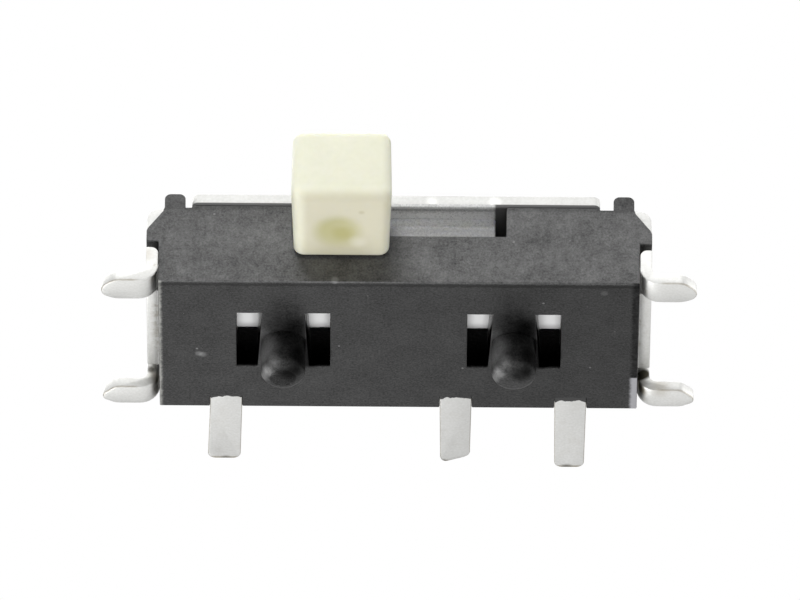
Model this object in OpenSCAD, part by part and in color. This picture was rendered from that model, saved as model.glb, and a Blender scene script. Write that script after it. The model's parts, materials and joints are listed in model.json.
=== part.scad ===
// Miniature slide switch for surface mounting: one pole, two positions, pushed from the side.
//
// The seating plane is Z = 0 and +Z points away from the circuit board. The knob is on the
// -Y side, the solder terminals are on the +Y side, and the knob travels along X. The origin
// is midway between the two locating pegs, at their roots. The slider is drawn at the left
// end of its travel. All sizes are in millimetres.

/* [Housing] */
// Width of the moulded housing, along the travel
housing_w = 6.2; // [6.05:0.05:6.8]
// Depth of the housing, from its front face to its rear face
housing_d = 2.7; // [2.6:0.05:3]
// Height of the housing, from the board to the underside of the cover
housing_h = 1.26; // [1.2:0.02:1.5]
// Thickness of the floor that the contact plates are moulded into
floor_t = 0.8; // [0.74:0.02:0.84]
// Thickness of the front wall, which has the knob's slot
front_wall_t = 0.25; // [0.2:0.01:0.3]
// Thickness of the rear wall, which has the detent grooves
rear_wall_t = 0.35; // [0.28:0.01:0.4]

/* [Wings and ears of the front face] */
// Thickness of the wings, front to back
wing_t = 0.28; // [0.22:0.01:0.4]
// Height of the wings' lower edges above the board
wing_z = 0.655; // [0.6:0.005:0.72]
// Angle of a wing's upper flank, from upright
wing_flank_a = 35; // [25:1:45]
// Radius of the blends above and below that flank
wing_blend_r = 0.12; // [0.06:0.01:0.14]
// Height at which an ear starts to widen into its wing
ear_root_z = 1.21; // [1.16:0.01:1.3]
// Distance from the housing's side in to the outer side of an ear
ear_inset = 0.05; // [0:0.01:0.12]
// Width of an ear
ear_w = 0.27; // [0.2:0.01:0.32]
// Radius of an ear's upper corners
ear_r = 0.08; // [0.03:0.01:0.09]
// Depth of the groove between an ear and the cover's front tab
ear_groove_h = 0.06; // [0.03:0.01:0.1]
// Gap between the top of the front wall and the cover's front tab
tab_clearance_h = 0.03; // [0.01:0.01:0.05]
// Height of the chamfer along the housing's upper side edges, below the ears' roots
side_chamfer_h = 0.17; // [0.14:0.01:0.3]

/* [Locating pegs and core windows] */
// Distance between the axes of the two pegs
peg_pitch = 3.0; // [2.9:0.05:3.1]
// Diameter of a peg
peg_d = 0.58; // [0.5:0.02:0.58]
// Length of a peg below the seating plane
peg_len = 0.55; // [0.4:0.05:0.8]
// Chamfer at a peg's tip
peg_chamfer = 0.04; // [0.02:0.01:0.1]
// Width over the two windows beside a peg
window_span = 1.22; // [1.1:0.02:1.3]
// Length of a window, front to back
window_l = 1.14; // [0.9:0.02:1.18]
// Distance from a peg's axis forward to the middle of its windows
window_shift = 0.09; // [0.05:0.01:0.12]
// Width of the web between the two windows at its front
web_front_w = 0.55; // [0.5:0.01:0.58]
// Width of that web at its rear
web_rear_w = 0.67; // [0.64:0.01:0.7]

/* [Cover] */
// Thickness of the cover's sheet metal
sheet_t = 0.16; // [0.12:0.01:0.2]
// Gap between an ear and the front tab, which closes the top of the slot
tab_side_gap = 0.13; // [0.06:0.01:0.2]
// Radius of the front tab's corners
tab_r = 0.08; // [0.04:0.01:0.12]
// Height of the side walls' lower edges above the board
wall_z = 0.25; // [0.2:0.01:0.35]
// Distance from the housing's rear face in to the cover's rear edge
cover_inset = 0.05; // [0:0.01:0.1]
// Width of a front leg, front to back
leg_w = 0.4; // [0.35:0.01:0.45]
// Width of a rear leg, front to back
rear_leg_w = 0.35; // [0.34:0.01:0.4]
// Width of the relief beside a leg
relief_w = 0.15; // [0.1:0.01:0.2]
// Height of the relief above the side wall's lower edge
relief_h = 0.17; // [0.1:0.01:0.25]
// Gap between a wing and the front leg below it
leg_wing_gap = 0.1; // [0.05:0.01:0.14]
// Radius of the front leg's upper inner corner
leg_top_r = 0.1; // [0.03:0.01:0.15]
// Inner radius of the bend between a leg and its foot
foot_bend_r = 0.1; // [0.06:0.01:0.14]
// Distance that a foot reaches past the cover's side
foot_reach = 0.58; // [0.5:0.01:0.8]
// Length over which a foot narrows to its tip
foot_cut_l = 0.17; // [0.05:0.01:0.2]
// Width cut from a foot's front corner at its tip
foot_front_cut = 0.16; // [0.05:0.01:0.18]
// Width cut from a foot's rear corner at its tip
foot_rear_cut = 0.09; // [0.03:0.01:0.12]
// Width of the catch window in a side wall
catch_w = 0.6; // [0.4:0.02:0.8]
// Height of the catch window
catch_h = 0.28; // [0.22:0.01:0.3]
// Height of the side wall below the catch window
catch_bar_h = 0.33; // [0.25:0.01:0.36]

/* [Slider] */
// Distance that the knob travels
travel = 1.5; // [1.3:0.05:1.6]
// Width of the knob at its end face
knob_w = 1.3; // [1.25:0.01:1.4]
// Width of the knob at its root and of the neck behind it
neck_w = 1.24; // [1.1:0.01:1.24]
// Height of the knob at its end face
knob_h = 1.09; // [1.04:0.01:1.14]
// Height of the knob at its root, where its top is level with the cover
knob_root_h = 1.02; // [0.9:0.01:1.04]
// Distance that the knob stands out from the front face
knob_reach = 1.38; // [1.2:0.02:2.5]
// Radius of the knob's edges
knob_r = 0.15; // [0.06:0.01:0.2]
// Diameter of the shallow round recess under the knob
recess_d = 0.62; // [0.4:0.02:0.7]
// Depth of that recess
recess_h = 0.03; // [0.02:0.01:0.06]
// Distance from the middle of the knob to the recess
recess_shift = 0.12; // [0:0.01:0.16]
// Length of the carriage that runs inside the housing
carriage_l = 4; // [3.7:0.05:4.1]
// Height of the pocket under the carriage that holds the moving contact
contact_pocket_h = 0.27; // [0.24:0.01:0.3]
// Depth of the pocket behind the carriage that holds the detent spring
spring_pocket_d = 0.37; // [0.33:0.01:0.4]

/* [Terminals and contacts] */
// Thickness of the terminals' strip metal
strip_t = 0.15; // [0.12:0.01:0.16]
// Inner radius of the terminals' bends
strip_bend_r = 0.05; // [0.03:0.01:0.08]
// Distance between neighbouring terminal positions on the board's grid
terminal_pitch = 1.5; // [1.45:0.01:1.55]
// Width of a terminal
terminal_w = 0.42; // [0.36:0.01:0.46]
// Width of a terminal at its tip
terminal_tip_w = 0.39; // [0.34:0.01:0.42]
// Distance that a terminal reaches past the rear face
terminal_reach = 1.14; // [0.8:0.01:1.3]
// Extra length of the middle terminal
common_terminal_extra = 0.05; // [0:0.01:0.1]
// Extra length of the right terminal
right_terminal_extra = 0.15; // [0:0.01:0.3]
// Width of the left terminal at its tip
left_tip_w = 0.43; // [0.34:0.01:0.46]
// Distance that the left terminal's tip leans outward
left_lean = 0.03; // [0:0.01:0.06]
// Chamfer on the corners of a terminal's tip
terminal_chamfer = 0.06; // [0.02:0.01:0.1]
// Length by which the middle terminal's tip is shorter on its right side, where it is sheared
common_tip_slant = 0.11; // [0:0.01:0.16]
// Length of terminal that shows on the underside of the housing
terminal_inset = 0.22; // [0.18:0.01:0.26]
// Width of the middle contact plate
common_plate_w = 0.9; // [0.84:0.01:0.98]
// Gap between neighbouring contact plates
plate_gap = 0.17; // [0.14:0.01:0.2]
// Depth of a contact plate, front to back
plate_d = 1.1; // [1:0.02:1.16]
// Width of the link from the middle plate to its terminal
link_w = 0.22; // [0.16:0.01:0.26]
// Thickness of the moving contact and of the detent spring
leaf_t = 0.06; // [0.05:0.01:0.07]
// Width of the moving contact
contact_w = 0.5; // [0.4:0.02:0.6]
// Angle of the detent spring's arms, from the carriage's rear face
detent_a = 20; // [17:1:24]
// Distance that the detent spring's crest enters its groove
detent_lift = 0.06; // [0.04:0.005:0.07]

/* [Hidden] */

$fn = 48;
arc_steps = 8;             // straight pieces in a drawn arc
contact_steps = 18;        // straight pieces in each half of the moving contact
over = 0.5;                // how far a cutter runs past the surface it opens
section_t = 0.01;          // thickness of the slices that the knob is hulled from

cover_gap = 0.02;          // between the housing and the cover's side walls
run_gap = 0.03;            // between the carriage and the walls that guide it
lid_gap = 0.01;            // between the carriage and the cover
stop_gap = 0.02;           // between the neck and an end of the slot, at the end of the travel
end_gap = 0.05;            // between the carriage and an end of the cavity, likewise
knob_gap = 0.05;           // between the front face and the back of the knob
contact_gap = 0.01;        // between the moving contact's crests and the contact plates
groove_gap = 0.02;         // between the detent spring's crest and its groove
catch_gap = 0.02;          // between a catch and the edges of its window
tab_gap = 0.02;            // between a wing and the edge of the cover behind it
contact_side_gap = 0.03;   // between the moving contact and the sides of its pocket
contact_end_gap = 0.1;     // between the moving contact's tips and the ends of its pocket
spring_edge_gap = 0.03;    // between the detent spring and the floor or the cover
catch_inset = 0.04;        // from the cover's outer face in to the outermost edge of a catch
plate_margin = 0.14;       // that an outer contact plate reaches past its terminal
peg_root_h = 0.15;         // that a peg is drawn up into the floor
contact_seat_w = 0.4;      // width of the moving contact's flat seat
contact_tip_l = 0.12;      // from a crest of the moving contact out to its tip
crest_r = 0.11;            // radius of the detent spring's crest, to its middle line
spring_seat_l = 0.14;      // length of a flat end of the detent spring

front_y = -housing_d / 2;
rear_y = housing_d / 2;
cavity_front_y = front_y + front_wall_t;
cavity_rear_y = rear_y - rear_wall_t;
cavity_w = carriage_l + travel + 2 * end_gap;
slot_w = neck_w + travel + 2 * stop_gap;
cover_inner_x = housing_w / 2 + cover_gap;
cover_x = cover_inner_x + sheet_t;
cover_top_z = housing_h + sheet_t;
wing_rear_y = front_y + wing_t;
ear_outer_x = housing_w / 2 - ear_inset;
ear_inner_x = ear_outer_x - ear_w;
tab_x = ear_inner_x - tab_side_gap;

slider_x = -travel / 2;
carriage_z = floor_t + run_gap;
carriage_top_z = housing_h - lid_gap;
carriage_front_y = cavity_front_y + run_gap;
carriage_rear_y = cavity_rear_y - run_gap;
knob_back_y = front_y - knob_gap;
knob_front_y = front_y - knob_reach;
knob_z = cover_top_z - knob_root_h;
knob_flare = (knob_h - knob_root_h) / 2;

plate_z = floor_t - strip_t;
side_terminal_x = 1.5 * terminal_pitch;
common_terminal_x = 0.5 * terminal_pitch;
side_plate_x = common_plate_w / 2 + plate_gap;
plate_outer_x = side_terminal_x + terminal_w / 2 + plate_margin;
bend_mid_r = strip_bend_r + strip_t / 2;
riser_y = rear_y - terminal_inset - bend_mid_r;
link_rear_y = riser_y - bend_mid_r;
link_front_y = link_rear_y - link_w;

crest_x = side_plate_x - plate_gap / 2;
crest_z = floor_t + contact_gap + leaf_t / 2;
contact_roof_z = carriage_z + contact_pocket_h;
contact_drop = contact_roof_z - leaf_t / 2 - crest_z;
contact_tip_x = crest_x + contact_tip_l;
contact_pocket_x = contact_tip_x + contact_end_gap;

spring_y = carriage_rear_y - spring_pocket_d;
spring_tip_y = cavity_rear_y + detent_lift - leaf_t / 2;
spring_arm_h = spring_tip_y - crest_r + crest_r * cos(detent_a) - spring_y - leaf_t / 2;
spring_x = crest_r * sin(detent_a) + spring_arm_h / tan(detent_a) + spring_seat_l;

housing_colour = "#303030";
metal_colour = "#c9c9c4";
slider_colour = "#ece9d2";
terminal_colour = "#d2d2cc";
contact_colour = "#c8b27a";
spring_colour = "#a9adb0";

// ---------- helpers ----------

// Points along an arc, from angle a0 to angle a1.
function arc(centre, r, a0, a1) =
    [for (i = [0:arc_steps]) let (a = a0 + (a1 - a0) * i / arc_steps) centre + r * [cos(a), sin(a)]];

function reversed(points) = [for (i = [len(points) - 1:-1:0]) points[i]];

function mirrored(points) = [for (p = points) [-p[0], p[1]]];

// A box given by its lowest and highest corners.
module box(low, high) {
    translate(low) cube(high - low);
}

// The same solid on the left and on the right.
module both_sides() {
    children();
    mirror([1, 0, 0]) children();
}

// Extrudes an outline drawn in X and Z along Y, from y0 to y1.
module extrude_along_y(y0, y1) {
    translate([0, y1, 0]) rotate([90, 0, 0]) linear_extrude(y1 - y0) children();
}

// Extrudes an outline drawn in Y and Z along X, from x0 to x1.
module extrude_along_x(x0, x1) {
    translate([x0, 0, 0]) rotate([90, 0, 90]) linear_extrude(x1 - x0) children();
}

// ---------- terminals ----------

// One face of a terminal's strip, seen from the side, at distance o above its middle line:
// along the contact plate, down the riser inside the housing, and out along the board.
function strip_face(y0, y1, o) = concat(
    [[y0, plate_z + strip_t / 2 + o]],
    arc([riser_y - bend_mid_r, plate_z + strip_t / 2 - bend_mid_r], bend_mid_r + o, 90, 0),
    arc([riser_y + bend_mid_r, strip_t / 2 + bend_mid_r], bend_mid_r - o, 180, 270),
    [[y1, strip_t / 2 + o]]);

module strip(x, y0) {
    extrude_along_x(x - terminal_w / 2, x + terminal_w / 2)
        polygon(concat(strip_face(y0, rear_y, strip_t / 2),
                       reversed(strip_face(y0, rear_y, -strip_t / 2))));
}

// The free end, past the rear face, tip_w wide at its tip. Its tip stands lean to the right of
// its root, and slant shears the tip at an angle.
module tail(x, reach, tip_w, lean = 0, slant = 0) {
    tip_y = rear_y + reach;
    x0 = lean - tip_w / 2;
    x1 = lean + tip_w / 2;
    c = terminal_chamfer;
    translate([x, 0, 0]) linear_extrude(strip_t)
        polygon([[-terminal_w / 2, rear_y], [terminal_w / 2, rear_y],
                 [x1, tip_y - slant - c], [x1 - c, tip_y - slant],
                 [x0 + c, tip_y], [x0, tip_y - c]]);
}

// The plate and strip of an outer terminal: side is 1 on the right and -1 on the left.
module side_plate(side) {
    x0 = side > 0 ? side_plate_x : -plate_outer_x;
    box([x0, -plate_d / 2, plate_z], [x0 + plate_outer_x - side_plate_x, plate_d / 2, floor_t]);
    strip(side * side_terminal_x, plate_d / 2);
}

module outer_left_terminal() {
    union() {
        side_plate(-1);
        tail(-side_terminal_x, terminal_reach, left_tip_w, lean = -left_lean);
    }
}

module outer_right_terminal() {
    union() {
        side_plate(1);
        tail(side_terminal_x, terminal_reach + right_terminal_extra, terminal_tip_w);
    }
}

// The middle plate reaches its terminal by a link that passes behind the right plate.
module middle_terminal() {
    union() {
        box([-common_plate_w / 2, -plate_d / 2, plate_z], [common_plate_w / 2, link_rear_y, floor_t]);
        box([0, link_front_y, plate_z],
            [common_terminal_x + terminal_w / 2, link_rear_y, floor_t]);
        strip(common_terminal_x, link_front_y);
        tail(common_terminal_x, terminal_reach + common_terminal_extra, terminal_tip_w,
             slant = common_tip_slant);
    }
}

module left_terminal() {
    color(terminal_colour) outer_left_terminal();
}

module common_terminal() {
    color(terminal_colour) middle_terminal();
}

module right_terminal() {
    color(terminal_colour) outer_right_terminal();
}

// ---------- housing ----------

// Outline of the right wing and its ear, in X and Z.
function wing_outline() =
    let (a = wing_flank_a, r = wing_blend_r,
         upper = [ear_outer_x + r, ear_root_z],
         flank_top = upper - r * [cos(a), sin(a)],
         lower_x = cover_x - r,
         flank_bottom_x = lower_x + r * cos(a),
         flank_bottom_z = flank_top[1] - (flank_bottom_x - flank_top[0]) / tan(a),
         lower = [lower_x, flank_bottom_z - r * sin(a)])
    concat(
        [[ear_inner_x - over, wing_z], [cover_x, wing_z]],
        arc(lower, r, 0, a),
        reversed(arc(upper, r, 180, 180 + a)),
        arc([ear_outer_x - ear_r, cover_top_z - ear_r], ear_r, 0, 90),
        arc([ear_inner_x + ear_r, cover_top_z - ear_r], ear_r, 90, 180),
        [[ear_inner_x, housing_h - over], [ear_inner_x - over, housing_h - over]]);

module wings() {
    both_sides() extrude_along_y(front_y, wing_rear_y) polygon(wing_outline());
}

module ear_grooves() {
    both_sides()
        box([tab_x, front_y - over, housing_h - ear_groove_h],
            [ear_inner_x, wing_rear_y, housing_h + over]);
}

// The front wall stops short of the tab that closes the top of its slot.
module tab_clearance() {
    box([-ear_inner_x, front_y - over, housing_h - tab_clearance_h],
        [ear_inner_x, cavity_front_y, housing_h + over]);
}

// The housing's block, seen from the front, with its upper edges cut back to the ears.
module body_outline() {
    right = [[housing_w / 2, 0], [housing_w / 2, ear_root_z - side_chamfer_h],
             [ear_outer_x, ear_root_z], [ear_outer_x, housing_h]];
    polygon(concat(right, reversed(mirrored(right))));
}

module peg() {
    tip_r = peg_d / 2 - peg_chamfer;
    translate([0, 0, -peg_len]) cylinder(h = peg_chamfer, r1 = tip_r, r2 = peg_d / 2);
    translate([0, 0, -peg_len + peg_chamfer])
        cylinder(h = peg_len - peg_chamfer + peg_root_h, d = peg_d);
}

// The windows are left by the core pins that hold the contact plates while the housing
// is moulded round them, so they reach up to the metal.
module core_windows() {
    front = -window_shift - window_l / 2;
    rear = front + window_l;
    translate([0, 0, -over]) linear_extrude(plate_z + over)
        for (s = [-1, 1])
            polygon([[s * web_front_w / 2, front], [s * window_span / 2, front],
                     [s * window_span / 2, rear], [s * web_rear_w / 2, rear]]);
}

module cavity() {
    box([-cavity_w / 2, cavity_front_y, floor_t], [cavity_w / 2, cavity_rear_y, housing_h + over]);
}

module knob_slot() {
    box([-slot_w / 2, front_y - over, floor_t], [slot_w / 2, cavity_front_y + over, housing_h + over]);
}

// V grooves in the rear wall that the detent spring drops into at each end of the travel.
module detent_grooves() {
    half = (detent_lift + groove_gap) / tan(detent_a);
    for (s = [-1, 1])
        translate([s * travel / 2, 0, floor_t]) linear_extrude(housing_h - floor_t + over)
            polygon([[-half - run_gap / tan(detent_a), cavity_rear_y - run_gap],
                     [0, cavity_rear_y + detent_lift + groove_gap],
                     [half + run_gap / tan(detent_a), cavity_rear_y - run_gap]]);
}

// A catch is flush at its top and stands out most at its underside, so the side wall of the
// cover slips over it and the window's lower edge snaps in below.
module catches() {
    z0 = wall_z + catch_bar_h + catch_gap;
    z1 = z0 + catch_h - 2 * catch_gap;
    half = catch_w / 2 - catch_gap;
    both_sides() extrude_along_y(-half, half)
        polygon([[housing_w / 2 - over, z0], [cover_x - catch_inset, z0],
                 [housing_w / 2, z1], [housing_w / 2 - over, z1]]);
}

module housing() {
    color(housing_colour) difference() {
        union() {
            extrude_along_y(front_y, rear_y) body_outline();
            wings();
            catches();
            for (s = [-1, 1]) translate([s * peg_pitch / 2, 0, 0]) peg();
        }
        cavity();
        knob_slot();
        ear_grooves();
        tab_clearance();
        detent_grooves();
        for (s = [-1, 1]) translate([s * peg_pitch / 2, 0, 0]) core_windows();
        outer_left_terminal();
        middle_terminal();
        outer_right_terminal();
    }
}

// ---------- cover ----------

// One face of a side wall, its leg and its foot, seen from the front, at distance o outside
// their middle line.
function leg_face(z_top, o) =
    let (r = foot_bend_r + sheet_t / 2, x = cover_x - sheet_t / 2)
    concat([[x + o, z_top]],
           arc([x + r, sheet_t / 2 + r], r - o, 180, 270),
           [[cover_x + foot_reach, sheet_t / 2 + o]]);

module leg_profile(z_top) {
    polygon(concat(leg_face(z_top, sheet_t / 2), reversed(leg_face(z_top, -sheet_t / 2))));
}

// Plan of a foot and its leg. The foot's corners are cut off to a narrower tip.
module foot_plan(w) {
    x0 = cover_inner_x - over;
    x1 = cover_x + foot_reach;
    polygon([[x0, 0], [x1 - foot_cut_l, 0], [x1, foot_front_cut],
             [x1, w - foot_rear_cut], [x1 - foot_cut_l, w], [x0, w]]);
}

module leg(y0, w) {
    intersection() {
        extrude_along_y(y0, y0 + w) leg_profile(wall_z + catch_bar_h);
        translate([0, y0, -over]) linear_extrude(housing_h) foot_plan(w);
    }
}

// The folded channel, seen from the front, without its legs.
module channel_profile() {
    inner_r = cover_gap;
    outer_r = cover_gap + sheet_t;
    cx = cover_inner_x - inner_r;
    cz = housing_h - inner_r;
    outer = concat([[cover_x, wall_z]], arc([cx, cz], outer_r, 0, 90));
    inner = concat([[cover_inner_x, wall_z]], arc([cx, cz], inner_r, 0, 90));
    polygon(concat(outer, reversed(mirrored(outer)), mirrored(inner), reversed(inner)));
}

// What has to be cut from the front tab's corners to round them, seen from above.
module front_tab_corners() {
    r = tab_r;
    difference() {
        translate([-tab_x - over, front_y - over]) square([2 * (tab_x + over), over + r]);
        polygon(concat(arc([-tab_x + r, front_y + r], r, 180, 270),
                       arc([tab_x - r, front_y + r], r, 270, 360),
                       [[tab_x, front_y + r + over], [-tab_x, front_y + r + over]]));
    }
}

module cover() {
    cover_rear_y = rear_y - cover_inset;
    leg_y = cover_rear_y - rear_leg_w;
    edge_y = wing_rear_y + tab_gap;
    leg_top_z = wing_z - leg_wing_gap;
    color(metal_colour) difference() {
        union() {
            extrude_along_y(front_y, cover_rear_y) channel_profile();
            both_sides() {
                leg(front_y, leg_w);
                leg(leg_y, rear_leg_w);
            }
        }
        // the step round the wings and ears, down to the rounded tops of the front legs
        both_sides() extrude_along_y(front_y - over, edge_y)
            polygon(concat([[tab_x, cover_top_z + over], [cover_x + over, cover_top_z + over],
                            [cover_x + over, leg_top_z]],
                           arc([cover_inner_x + leg_top_r, leg_top_z - leg_top_r], leg_top_r, 90, 180),
                           [[tab_x, leg_top_z - leg_top_r]]));
        translate([0, 0, housing_h - over]) linear_extrude(sheet_t + 2 * over) front_tab_corners();
        both_sides() {
            // reliefs beside the legs
            for (y0 = [front_y + leg_w, leg_y - relief_w])
                box([cover_inner_x - over, y0, wall_z - over],
                    [cover_x + over, y0 + relief_w, wall_z + relief_h]);
            // catch window
            box([cover_inner_x - over, -catch_w / 2, wall_z + catch_bar_h],
                [cover_x + over, catch_w / 2, wall_z + catch_bar_h + catch_h]);
        }
    }
}

// ---------- slider and what it carries ----------

// Plan of the knob: widest at its end face, as wide as the neck at its root.
module knob_plan() {
    r = knob_r;
    polygon(concat([[neck_w / 2, knob_back_y]],
                   reversed(arc([knob_w / 2 - r, knob_front_y + r], r, -90, 0)),
                   reversed(arc([-knob_w / 2 + r, knob_front_y + r], r, 180, 270)),
                   [[-neck_w / 2, knob_back_y]]));
}

// The knob seen from its side: rounded along the end face, a little lower at its root.
module knob_side() {
    r = knob_r;
    low = knob_z - knob_flare;
    high = cover_top_z + knob_flare;
    polygon(concat([[knob_back_y, knob_z]],
                   reversed(arc([knob_front_y + r, low + r], r, 180, 270)),
                   reversed(arc([knob_front_y + r, high - r], r, 90, 180)),
                   [[knob_back_y, cover_top_z]]));
}

// A thin cross section of the knob, half_w from its middle to each side, between z0 and z1.
module knob_section(y, half_w, z0, z1) {
    r = knob_r;
    x = half_w - r;
    extrude_along_y(y, y + section_t)
        polygon(concat(arc([x, z0 + r], r, -90, 0), arc([x, z1 - r], r, 0, 90),
                       arc([-x, z1 - r], r, 90, 180), arc([-x, z0 + r], r, 180, 270)));
}

// The knob's rounded section grows towards its end face, whose edges are rounded too.
module knob() {
    intersection() {
        hull() {
            knob_section(knob_front_y, knob_w / 2, knob_z - knob_flare, cover_top_z + knob_flare);
            knob_section(knob_back_y - section_t, neck_w / 2, knob_z, cover_top_z);
        }
        linear_extrude(cover_top_z + 2 * knob_flare) knob_plan();
        extrude_along_x(-knob_w, knob_w) knob_side();
    }
}

module slider_body() {
    difference() {
        union() {
            knob();
            box([-neck_w / 2, knob_back_y - knob_r, carriage_z],
                [neck_w / 2, carriage_front_y + knob_r, carriage_top_z]);
            box([-carriage_l / 2, carriage_front_y, carriage_z],
                [carriage_l / 2, carriage_rear_y, carriage_top_z]);
        }
        translate([-recess_shift, (knob_back_y + knob_front_y) / 2, knob_z - over])
            cylinder(h = over + recess_h, d = recess_d);
        // pocket for the moving contact
        box([-contact_pocket_x, -contact_w / 2 - contact_side_gap, carriage_z - over],
            [contact_pocket_x, contact_w / 2 + contact_side_gap, contact_roof_z]);
        // pocket for the detent spring
        box([-spring_x - spring_edge_gap, spring_y, carriage_z - over],
            [spring_x + spring_edge_gap, carriage_rear_y + over, carriage_top_z + over]);
    }
}

module slider() {
    color(slider_colour) translate([slider_x, 0, 0]) slider_body();
}

// The moving contact's middle line is flat where it is seated in the carriage, then makes an
// S down to the crest that wipes the plates, and turns up again at the tip. The phase goes
// from 0 at the seat to 180 at the crest.
function contact_phase(x) =
    180 * max(0, abs(x) - contact_seat_w / 2) / (crest_x - contact_seat_w / 2);

function contact_height(x) = crest_z + contact_drop * (1 + cos(contact_phase(x))) / 2;

function contact_slope(x) =
    -sign(x) * contact_drop * sin(contact_phase(x)) / 2 * PI / (crest_x - contact_seat_w / 2);

// A face of the moving contact, at distance o above its middle line.
function contact_face(o) = [
    for (i = [-contact_steps:contact_steps])
        let (x = i / contact_steps * contact_tip_x, m = contact_slope(x))
        [x, contact_height(x)] + o / sqrt(1 + m * m) * [-m, 1]];

module moving_contact() {
    color(contact_colour) translate([slider_x, 0, 0])
        extrude_along_y(-contact_w / 2, contact_w / 2)
            polygon(concat(contact_face(leaf_t / 2), reversed(contact_face(-leaf_t / 2))));
}

// A face of the detent spring, in X and Y, at distance o behind its middle line: from its
// left seat on the carriage up one arm, over the crest, and down to its right seat.
function spring_face(o) =
    let (y = spring_y + leaf_t / 2,
         bend = spring_x - spring_seat_l + o * tan(detent_a / 2),
         left = [[-spring_x, y + o], [-bend, y + o]],
         crest = arc([0, spring_tip_y - crest_r], crest_r + o, 90 + detent_a, 90 - detent_a))
    concat(left, crest, reversed(mirrored(left)));

module detent_spring() {
    color(spring_colour)
        translate([slider_x, 0, carriage_z + spring_edge_gap])
            linear_extrude(carriage_top_z - carriage_z - 2 * spring_edge_gap)
                polygon(concat(spring_face(leaf_t / 2), reversed(spring_face(-leaf_t / 2))));
}

housing();
cover();
slider();
left_terminal();
common_terminal();
right_terminal();
moving_contact();
detent_spring();
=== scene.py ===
# %% [markdown]
# # A miniature slide switch
#
# This lesson dresses a surface-mount slide switch whose solids are already made and packed.
# The switch is under 8 mm wide: a black moulding, a folded sheet-metal cover with four soldering
# feet, three plated terminals, and an ivory slider that is pushed from the side. The packed
# solids are the frame. They are exact but their edges are razor sharp and their surfaces have
# no finish, so each visible piece gets softened edges and a material of its own, and the knob
# and the pegs, whose roundness shows, are modelled again on the frame's sizes.

# %% The frame and its box
import json
import math

import bmesh
import bpy
from mathutils import Matrix, Vector


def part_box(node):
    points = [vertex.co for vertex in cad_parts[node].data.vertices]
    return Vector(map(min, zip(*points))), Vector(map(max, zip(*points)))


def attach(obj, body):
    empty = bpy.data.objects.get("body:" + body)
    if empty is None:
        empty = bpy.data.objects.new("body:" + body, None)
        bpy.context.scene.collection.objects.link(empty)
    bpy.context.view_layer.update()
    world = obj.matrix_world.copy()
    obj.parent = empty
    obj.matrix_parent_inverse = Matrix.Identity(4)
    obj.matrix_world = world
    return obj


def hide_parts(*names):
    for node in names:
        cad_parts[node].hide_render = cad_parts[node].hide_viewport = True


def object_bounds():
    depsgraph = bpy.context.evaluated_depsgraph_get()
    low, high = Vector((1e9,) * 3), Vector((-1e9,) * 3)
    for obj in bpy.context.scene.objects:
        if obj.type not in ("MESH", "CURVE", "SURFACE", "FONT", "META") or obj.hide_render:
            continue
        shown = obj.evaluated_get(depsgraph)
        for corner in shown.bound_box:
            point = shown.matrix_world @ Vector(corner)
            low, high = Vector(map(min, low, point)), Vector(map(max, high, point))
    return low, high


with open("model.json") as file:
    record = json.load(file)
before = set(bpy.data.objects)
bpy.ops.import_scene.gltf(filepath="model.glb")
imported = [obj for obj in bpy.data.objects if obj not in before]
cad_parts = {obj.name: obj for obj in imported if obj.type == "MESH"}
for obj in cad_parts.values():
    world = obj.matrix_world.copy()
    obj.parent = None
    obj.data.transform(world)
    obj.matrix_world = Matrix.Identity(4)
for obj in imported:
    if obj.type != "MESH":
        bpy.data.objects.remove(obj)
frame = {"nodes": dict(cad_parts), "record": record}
cad_low, cad_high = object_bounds()
print("solids span", [round(1000 * side, 2) for side in cad_high - cad_low], "mm")

# %% [markdown]
# Every length of a shape is written in millimetres times `MM`, because Blender's unit here is
# the metre. The places come from the frame: the housing's front face, the tips, radius and
# spacing of its two pegs, the cover's top and the underside of its sheet, and the slider's own
# box. The seating plane is at Z = 0. Names that end in `_mm` are the same places in plain
# millimetres, which the materials' patterns are written in.

# %% Places taken from the frame
MM = 0.001
SHEET_T = 0.16 * MM
housing_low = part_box("housing")[0]
slider_low, slider_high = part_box("slider")
pegs = next(m for m in frame["record"]["mounts"] if m["name"] == "locating_pegs")
peg_r = pegs["dims"]["stud_r_mm"] * MM
peg_x = pegs["dims"]["pcd_mm"] * MM / 2
peg_tip_z = housing_low.z
front_y = housing_low.y
top_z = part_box("cover")[1].z
lid_under_z = top_z - SHEET_T
knob_x = (slider_low.x + slider_high.x) / 2
front_mm = front_y / MM
top_mm = top_z / MM
lid_under_mm = lid_under_z / MM
knob_mm = knob_x / MM
print("front face at Y =", round(front_mm, 3), "mm; knob at X =", round(knob_mm, 3), "mm")

# %% [markdown]
# ## A camera below the front edge
#
# A switch like this is shown from the side that meets the circuit board, so the camera looks up
# at the underside and the front face at once. A very long lens at 20 cm keeps parallel edges
# almost parallel, as a macro lens does. It is tipped a fraction of a degree.

# %% The camera
CAMERA_DOWN = math.radians(37.25)
CAMERA_ROLL = math.radians(0.4)
CAMERA_DISTANCE = 200 * MM
VIEW_WIDTH = 10.42 * MM
AIM_UP = 0.20 * MM
AIM_RIGHT = 0.014 * MM
SENSOR = 36.0

toward_camera = Vector((0, -math.cos(CAMERA_DOWN), -math.sin(CAMERA_DOWN)))
view_up = Vector((0, -math.sin(CAMERA_DOWN), math.cos(CAMERA_DOWN)))
view_right = Vector((1, 0, 0))
box_middle = (cad_low + cad_high) / 2
aim = Vector((0, box_middle.y, box_middle.z)) + AIM_UP * view_up + AIM_RIGHT * view_right

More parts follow.
